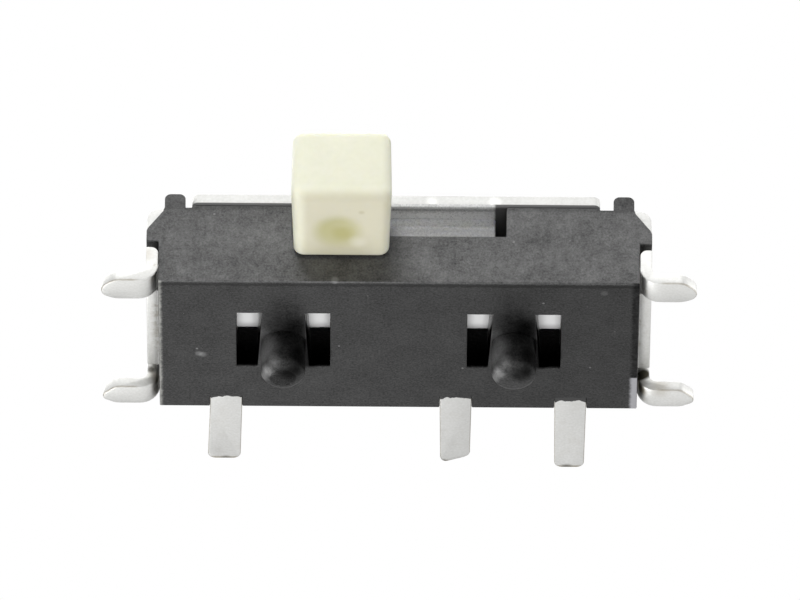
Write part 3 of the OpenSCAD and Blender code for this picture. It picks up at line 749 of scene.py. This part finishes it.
housing_mesh = merged_copy("housing")
for vert in housing_mesh.verts:
    if abs(abs(vert.co.x) - BODY_SIDE) < MERGE:
        vert.co.x += math.copysign(SNUG, vert.co.x)
    if vert.co.y < front_y + MERGE and abs(vert.co.z - SILL_Z) < MERGE:
        vert.co.z -= SILL_DROP
    if abs(abs(vert.co.x) - TAB_END) < MERGE and vert.co.z > SILL_Z:
        vert.co.x += TAB_SHIFT
slot_ends = round_corners(housing_mesh, lambda p: p.y < front_y + MERGE
                          and abs(abs(p.x) - SLOT_END) < MERGE, SLOT_CORNER)
print("rounded", slot_ends, "ends of the slot")
print("cut rim of", cut_off(housing_mesh, (0, 0, 0), (0, 0, 1)), "edges")
print("softened", soften(housing_mesh, HOUSING_EDGE), "edges")

# %% [markdown]
# ## The pegs
#
# The two pegs go into holes in the board, so their tips are rounded to find the way in. They are
# moulded with the housing, and a packed cylinder has only a few dozen flats, which show. So two
# smooth ones are made on the mount's own radius and spacing. A cone whose radii are equal is a
# cylinder. It starts just inside the floor, so that no gap can show, and its tip is bevelled.

# %% The pegs
PEG_TIP_R = 0.12 * MM
PEG_ROOT = 0.02 * MM


def add_peg(mesh, x):
    """A smooth round peg with a rounded tip, from just inside the floor to its full length."""
    length = PEG_ROOT - peg_tip_z
    middle = Matrix.Translation((x, 0, peg_tip_z + length / 2))
    made = bmesh.ops.create_cone(mesh, cap_ends=True, segments=64, radius1=peg_r, radius2=peg_r,
                                 depth=length, matrix=middle)
    tip = [e for e in {e for v in made["verts"] for e in v.link_edges}
           if all(abs(v.co.z - peg_tip_z) < MERGE for v in e.verts)]
    return rounded(mesh, tip, PEG_TIP_R, segments=5)


for axis_x in (-peg_x, peg_x):
    tip_edges = add_peg(housing_mesh, axis_x)
    print("peg at X =", round(axis_x / MM, 2), "mm has", tip_edges, "edges round its tip")
finished_piece(housing_mesh, "housing_moulding", "switch_body", "black_moulding", "housing")

# %% [markdown]
# ## The cover
#
# The cover is one sheet of tinned steel, punched and folded over the housing. Its solid already
# has the folds as curved faces. The tab over the slot moves a little to the left, and its front
# edge is drawn down over the top of the front wall, which hides the clearance there. The feet's
# corners get a radius from top to bottom, and then every punched edge is rounded by two
# hundredths of a millimetre.

# %% The cover
SHEET_EDGE = 0.018 * MM
TAB_ROOT_Y = -1.05 * MM
TAB_CORNER = 0.10 * MM
TAB_DROP = 0.027 * MM
FOOT_TIP_X = 3.60 * MM
FRONT_FOOT_CORNER = 0.07 * MM
REAR_FOOT_CORNER = 0.045 * MM

cover_mesh = merged_copy("cover")
for vert in cover_mesh.verts:
    if vert.co.y < TAB_ROOT_Y + MERGE and abs(abs(vert.co.x) - TAB_END) < TAB_CORNER:
        vert.co.x += TAB_SHIFT
        if vert.co.y < TAB_ROOT_Y - MERGE and abs(vert.co.z - lid_under_z) < MERGE:
            vert.co.z -= TAB_DROP
front_corners = round_corners(cover_mesh, lambda p: abs(p.x) > FOOT_TIP_X and p.y < 0, FRONT_FOOT_CORNER)
rear_corners = round_corners(cover_mesh, lambda p: abs(p.x) > FOOT_TIP_X and p.y > 0, REAR_FOOT_CORNER)
print("rounded", front_corners + rear_corners, "corners of the feet")
print("softened", soften(cover_mesh, SHEET_EDGE), "edges")
finished_piece(cover_mesh, "cover_sheet", "switch_body", "tinned_cover", "cover")

# %% [markdown]
# ## The terminals
#
# These are three punched strips, each one piece with its contact plate in the floor of the
# housing. Their solids have every bend. Their tips' corners are worn round, and the other edges
# need only the same softening as the sheet.

# %% The terminals
STRIP_EDGE = 0.016 * MM
TIP_CORNER = 0.038 * MM
TIP_Y = 2.3 * MM

for node in TERMINALS:
    strip_mesh = merged_copy(node)
    round_corners(strip_mesh, lambda p: p.y > TIP_Y, TIP_CORNER)
    soften(strip_mesh, STRIP_EDGE)
    finished_piece(strip_mesh, node + "_strip", "switch_body", "plated_strip", node)

# %% [markdown]
# ## The slider
#
# The knob is what a finger touches, and its edges are rounded generously in every direction. A
# rounded box from a solid modeller would have many small flats, so the knob is a block whose
# corners are moved for the taper. Its two front edges have radii of their own and are bevelled
# first. Then the whole outline of each side is bevelled at once, which gives ball corners.

# %% The knob
KNOB_R = 0.14 * MM
KNOB_TOP_R = 0.16 * MM
KNOB_BOTTOM_R = 0.24 * MM
KNOB_END_W = 1.31 * MM
KNOB_TOP_W = 1.27 * MM
KNOB_ROOT_W = 1.24 * MM
KNOB_ROOT_Z = 0.40 * MM
KNOB_GAP = 0.05 * MM
knob_back_y = front_y - KNOB_GAP


def knob_block():
    """A block between the end face and the root, tapered and bevelled."""
    mesh = bmesh.new()
    bmesh.ops.create_cube(mesh, size=1)
    for vert in mesh.verts:
        at_end, high = vert.co.y < 0, vert.co.z > 0
        half = (KNOB_TOP_W if high else KNOB_END_W) / 2 if at_end else KNOB_ROOT_W / 2
        vert.co.x = knob_x + math.copysign(half, vert.co.x)
        vert.co.y = slider_low.y if at_end else knob_back_y
        if high:
            vert.co.z = slider_high.z if at_end else top_z
        else:
            vert.co.z = slider_low.z if at_end else KNOB_ROOT_Z
    across = [e for e in mesh.edges if all(v.co.y == slider_low.y for v in e.verts)
              and abs(e.verts[0].co.z - e.verts[1].co.z) < MERGE]
    top_edge, bottom_edge = sorted(across, key=lambda e: -e.verts[0].co.z)
    rounded(mesh, [top_edge], KNOB_TOP_R, segments=10)
    rounded(mesh, [bottom_edge], KNOB_BOTTOM_R, segments=10)
    sides = {e for f in mesh.faces if abs(f.normal.x) > 0.9 for e in f.edges
             if not all(abs(v.co.y - knob_back_y) < MERGE for v in e.verts)}
    rounded(mesh, list(sides), KNOB_R, segments=8)
    return mesh


knob_mesh = knob_block()
print("knob block has", len(knob_mesh.faces), "faces")

# %% [markdown]
# The dish under the knob is so shallow that an edge loop would hardly hold it, so it is cut with
# the cap of a large ball by a Boolean modifier, and the two scrap objects are removed again.

# %% The dish under the knob
DISH_R = 0.33 * MM
DISH_DEPTH = 0.03 * MM
dish_ball_r = (DISH_R**2 + DISH_DEPTH**2) / (2 * DISH_DEPTH)


def with_dish(mesh):
    """The knob's mesh with a shallow round dish cut in its underside."""
    blank = linked_object(mesh, "knob_blank")
    ball = bmesh.new()
    ball_middle = Vector(KNOB_MARK) * MM - Vector((0, 0, dish_ball_r - DISH_DEPTH))
    bmesh.ops.create_uvsphere(ball, u_segments=128, v_segments=64, radius=dish_ball_r,
                              matrix=Matrix.Translation(ball_middle))
    cutter = linked_object(ball, "dish_cutter")
    cut = blank.modifiers.new("dish", "BOOLEAN")
    cut.object = cutter
    cut.operation = "DIFFERENCE"
    cut.solver = "EXACT"
    bpy.context.view_layer.update()
    shaped = blank.evaluated_get(bpy.context.evaluated_depsgraph_get())
    dished = bpy.data.meshes.new_from_object(shaped)
    for scrap in (blank, cutter):
        bpy.data.objects.remove(scrap)
    return dished


dished_knob = with_dish(knob_mesh)
print("dished knob has", len(dished_knob.polygons), "faces")

# %% [markdown]
# The neck and the carriage stay as the solid has them, from just behind the knob's back. The
# neck's top is lowered under the cover's tab, and the carriage's corner beside the gap at the
# end of the slot is rounded. Then the knob joins them, since the real slider is one moulding.

# %% The slider
SLIDER_EDGE = 0.008 * MM
KNOB_OVERLAP = 0.01 * MM
NECK_TOP_Z = 1.25 * MM
NECK_DROP = 1.2 * TAB_DROP
CARRIAGE_Y = -1.07 * MM
CARRIAGE_END = 1.2 * MM
CARRIAGE_CORNER = 0.03 * MM

slider_mesh = merged_copy("slider")
cut_off(slider_mesh, (0, knob_back_y + KNOB_OVERLAP, 0), (0, 1, 0))
for vert in slider_mesh.verts:
    if vert.co.y < front_y and abs(vert.co.z - NECK_TOP_Z) < MERGE:
        vert.co.z -= NECK_DROP
round_corners(slider_mesh, lambda p: abs(p.y - CARRIAGE_Y) < MERGE and p.x > CARRIAGE_END, CARRIAGE_CORNER)
print("softened", soften(slider_mesh, SLIDER_EDGE), "edges of the carriage")
slider_mesh.from_mesh(dished_knob)
finished_piece(slider_mesh, "slider_moulding", "knob_slider", "ivory_moulding", "slider")

# %% [markdown]
# ## The leaves inside
#
# The moving contact rides in a pocket under the carriage and the detent spring behind it. They
# are thin rolled strip, hardly seen from outside, so their solids are softened and no more.

# %% The leaves
LEAF_EDGE = 0.006 * MM
for node, slot in (("moving_contact", "contact_bronze"), ("detent_spring", "spring_steel")):
    leaf_mesh = merged_copy(node)
    soften(leaf_mesh, LEAF_EDGE)
    finished_piece(leaf_mesh, node + "_leaf", "knob_slider", slot, node)

# %% [markdown]
# ## The floor
#
# The switch stands over a plain pale floor at its lowest point. The camera looks up from below
# the floor, so the floor is one-sided: it shows only its upper side, with the shadow on it, and
# only to the camera. It fades out far from the switch, so that no horizon shows.

# %% The floor
FLOOR_SIZE = 500 * MM
FLOOR_SOLID = 7
FLOOR_FADE = 22
PALE = grey(0.96)


def one_sided_floor():
    """Matt and slightly dusty, seen by the camera alone, from above, and near the switch."""
    finish = Finish("pale_floor", Specular_IOR_Level=0.0, Roughness=1.0)
    seen = (finish.node("ShaderNodeLightPath", output="Is Camera Ray")
            * (1 - finish.node("ShaderNodeNewGeometry", output="Backfacing"))
            * finish.near((0, 0, cad_low.z / MM), FLOOR_SOLID, FLOOR_FADE))
    finish.feed("Base Color", finish.shade(PALE[:3], (finish.noise(0.4, detail=3) - 0.5) * 0.02 + 1))
    matt = Amount(finish, finish.shader.outputs["BSDF"])
    clear = finish.node("ShaderNodeBsdfTransparent")
    choice = finish.node("ShaderNodeMixShader", None, {0: seen, 1: clear, 2: matt})
    finish.tree.links.new(choice.socket, finish.tree.nodes["Material Output"].inputs["Surface"])
    return finish.material


floor_mesh = bmesh.new()
bmesh.ops.create_grid(floor_mesh, x_segments=1, y_segments=1, size=FLOOR_SIZE / 2,
                      matrix=Matrix.Translation((0, 0, cad_low.z)))
floor = linked_object(floor_mesh, "floor")
floor.data.materials.append(one_sided_floor())
print("floor at Z =", round(cad_low.z / MM, 2), "mm")

# %% [markdown]
# ## The world
#
# The world is white to the camera and dim to matt surfaces, which the lamps light. Reflections
# see it bright overhead and below but greyer round the horizon, so that metal has something
# darker to mirror. `Nodes` makes its sums too, and they feed the background's strength.

# %% The world
WORLD_MATT = 0.08
WORLD_GLOSS = 0.90
HORIZON_GLOSS = 0.40
HORIZON_LOW = 0.10
HORIZON_HIGH = 0.50


def white_world():
    world = bpy.data.worlds.new("white_studio")
    world.use_nodes = True
    sky = Nodes(world.node_tree, "Background")
    toward = sky.node("ShaderNodeTexCoord", output="Generated")
    height = abs(sky.node("ShaderNodeSeparateXYZ", inputs={"Vector": toward}, output="Z"))
    lifted = sky.step(height, HORIZON_LOW, HORIZON_HIGH)
    gloss = lifted * (WORLD_GLOSS - HORIZON_GLOSS) + HORIZON_GLOSS
    glossy = sky.node("ShaderNodeLightPath", output="Is Glossy Ray")
    strength = glossy * (gloss - WORLD_MATT) + WORLD_MATT
    seen = sky.node("ShaderNodeLightPath", output="Is Camera Ray")
    sky.shader.inputs["Color"].default_value = grey(1.0)
    sky.feed("Strength", seen * (1 - strength) + strength)
    return world


bpy.context.scene.world = white_world()
print("world", WORLD_MATT, "to matt surfaces and", WORLD_GLOSS, "to reflections")

# %% [markdown]
# ## The lamps
#
# The lamps are soft squares, and each one's level is what it adds to a matt surface that faces
# it, so that size and distance can change without the light's getting stronger. A lamp that is
# mirrored only puts a sheen on the underside, and one that isn't mirrored only lights matt
# surfaces, so the two can be set apart.

# %% The lamps
def softbox(name, toward, size, distance, level, mirrored=True, lights_matt=True):
    """A square lamp, its size and distance in millimetres, that adds a level to a matt surface."""
    half = size / distance / 2
    edge_sine = half / math.sqrt(1 + half**2)
    share_of_view = 4 / math.pi * edge_sine * math.atan(edge_sine)
    radiance = level / share_of_view
    data = bpy.data.lights.new(name, "AREA")
    data.shape = "SQUARE"
    data.size = size * MM
    data.energy = radiance * math.pi * data.size**2
    lamp = bpy.data.objects.new(name, data)
    direction = Vector(toward).normalized()
    lamp.location = box_middle + distance * MM * direction
    lamp.rotation_euler = direction.to_track_quat("Z", "Y").to_euler()
    lamp.visible_camera = False
    lamp.visible_glossy = mirrored
    lamp.visible_diffuse = lights_matt
    bpy.context.collection.objects.link(lamp)
    print(name, "adds", level, "and shines at", round(radiance, 2))


softbox("front_panel", (-0.10, -0.74, 0.67), 140, 110, 0.20, lights_matt=False)
softbox("key", (-0.12, -0.87, 0.48), 35, 110, 0.86, mirrored=False)
softbox("fill", (0.0, -0.80, -0.60), 60, 110, 0.15, mirrored=False)
softbox("left_low", (-0.75, 0.10, -0.65), 36, 50, 0.42)
softbox("below", (0.0, 0.04, -1.0), 35, 110, 0.68, mirrored=False)
softbox("right_side", (0.93, 0.05, 0.15), 110, 110, 0.30)
softbox("overhead", (-0.3, 0.45, 1.0), 150, 120, 0.50)
